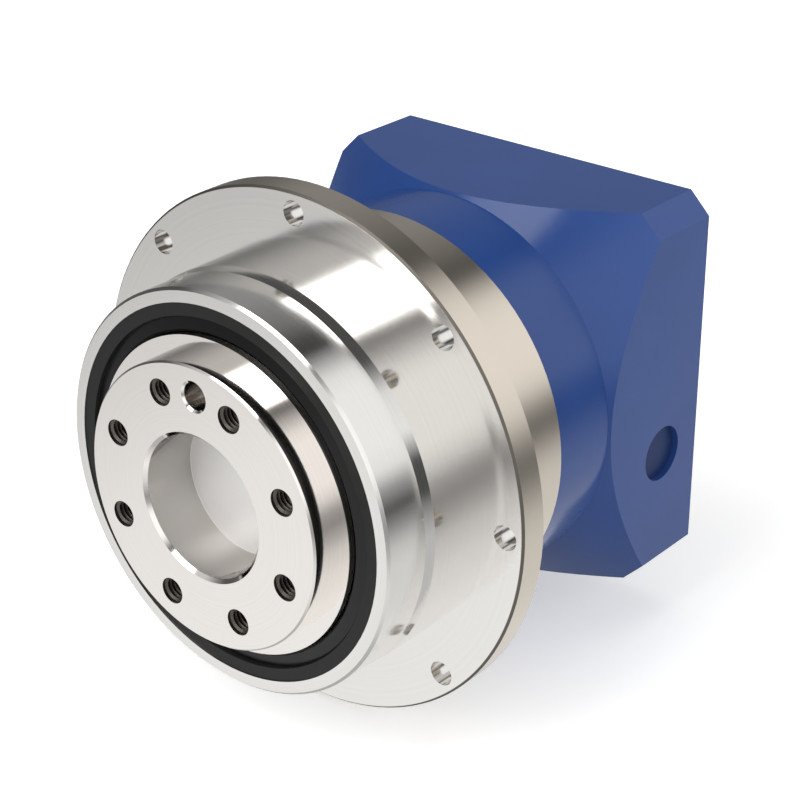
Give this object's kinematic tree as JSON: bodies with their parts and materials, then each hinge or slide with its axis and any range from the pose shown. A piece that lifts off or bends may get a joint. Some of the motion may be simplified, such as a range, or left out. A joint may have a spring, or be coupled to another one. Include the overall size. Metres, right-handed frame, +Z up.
{
  "type": "helical planetary gearbox",
  "caption": "Coaxial helical planetary gearbox with a bolted output flange, a round mounting flange on a steel housing and a square motor adapter with a clamping hub inside.",
  "frame": {"origin": "centre of the output face, on the gearbox axis", "axes": "+Y along the gearbox axis towards the motor, +Z up through the dowel hole, +X towards the plugged access hole"},
  "size_m": [0.118, 0.1144, 0.118],
  "materials": {
    "housing_steel": "turned and polished steel",
    "carrier_steel": "ground steel",
    "gear_steel": "case-hardened and ground steel",
    "bearing_steel": "polished bearing steel",
    "cage_steel": "pressed sheet steel",
    "spring_steel": "blackened spring steel",
    "screw_steel": "black oxide",
    "blue_paint": "semi-gloss paint on aluminium",
    "blue_plastic": "moulded",
    "rubber": "moulded nitrile rubber"
  },
  "bodies": {
    "housing": {"main_housing": "housing_steel", "adapter_housing": "blue_paint", "adapter_o_ring": "rubber", "adapter_screws": "screw_steel", "output_seal": "rubber", "output_seal_spring": "spring_steel", "input_seal": "rubber", "input_seal_spring": "spring_steel", "front_bearing_outer_ring": "bearing_steel", "rear_bearing_outer_ring": "bearing_steel", "input_bearing_outer_ring": "bearing_steel", "bearing_circlip": "spring_steel", "access_plug": "blue_plastic"},
    "carrier": {"output_carrier": "carrier_steel", "front_bearing_inner_ring": "bearing_steel", "rear_bearing_inner_ring": "bearing_steel", "end_plate": "carrier_steel", "end_plate_screws": "screw_steel", "planet_pin_1": "bearing_steel", "planet_pin_2": "bearing_steel", "planet_pin_3": "bearing_steel", "planet_rollers_1": "bearing_steel", "planet_rollers_2": "bearing_steel", "planet_rollers_3": "bearing_steel", "planet_washers_1": "cage_steel", "planet_washers_2": "cage_steel", "planet_washers_3": "cage_steel"},
    "input_shaft": {"sun_shaft": "gear_steel", "clamp_screw": "screw_steel", "shaft_circlip": "spring_steel", "input_bearing_inner_ring": "bearing_steel"},
    "front_rollers": {"front_bearing_rollers": "bearing_steel", "front_bearing_cage": "cage_steel"},
    "rear_rollers": {"rear_bearing_rollers": "bearing_steel", "rear_bearing_cage": "cage_steel"},
    "input_balls": {"input_bearing_balls": "bearing_steel", "input_bearing_cage": "cage_steel"},
    "planet_1": {"planet_gear_1": "gear_steel"},
    "planet_2": {"planet_gear_2": "gear_steel"},
    "planet_3": {"planet_gear_3": "gear_steel"}
  },
  "joints": [
    {"name": "output_spin", "type": "hinge", "parent": "housing", "child": "carrier", "pos_m": [0, 0, 0], "axis": [0, 1, 0], "continuous": true},
    {"name": "input_spin", "type": "hinge", "parent": "housing", "child": "input_shaft", "pos_m": [0, 0.072, 0], "axis": [0, 1, 0], "continuous": true},
    {"name": "planet_1_spin", "type": "hinge", "parent": "carrier", "child": "planet_1", "pos_m": [0, 0.039, 0.0225], "axis": [0, 1, 0], "continuous": true},
    {"name": "planet_2_spin", "type": "hinge", "parent": "carrier", "child": "planet_2", "pos_m": [-0.01949, 0.039, -0.01125], "axis": [0, 1, 0], "continuous": true},
    {"name": "planet_3_spin", "type": "hinge", "parent": "carrier", "child": "planet_3", "pos_m": [0.01949, 0.039, -0.01125], "axis": [0, 1, 0], "continuous": true},
    {"name": "front_rollers_spin", "type": "hinge", "parent": "housing", "child": "front_rollers", "pos_m": [0, 0.0201, 0], "axis": [0, 1, 0], "continuous": true},
    {"name": "rear_rollers_spin", "type": "hinge", "parent": "housing", "child": "rear_rollers", "pos_m": [0, 0.0545, 0], "axis": [0, 1, 0], "continuous": true},
    {"name": "input_balls_spin", "type": "hinge", "parent": "housing", "child": "input_balls", "pos_m": [0, 0.072, 0], "axis": [0, 1, 0], "continuous": true}
  ],
  "couplings": [
    {"joint": "input_spin", "follows": "output_spin", "ratio": 4},
    {"joint": "planet_1_spin", "follows": "output_spin", "ratio": -3},
    {"joint": "planet_2_spin", "follows": "output_spin", "ratio": -3},
    {"joint": "planet_3_spin", "follows": "output_spin", "ratio": -3},
    {"joint": "front_rollers_spin", "follows": "output_spin", "ratio": 0.46},
    {"joint": "rear_rollers_spin", "follows": "output_spin", "ratio": 0.4612},
    {"joint": "input_balls_spin", "follows": "output_spin", "ratio": 1.7332}
  ]
}
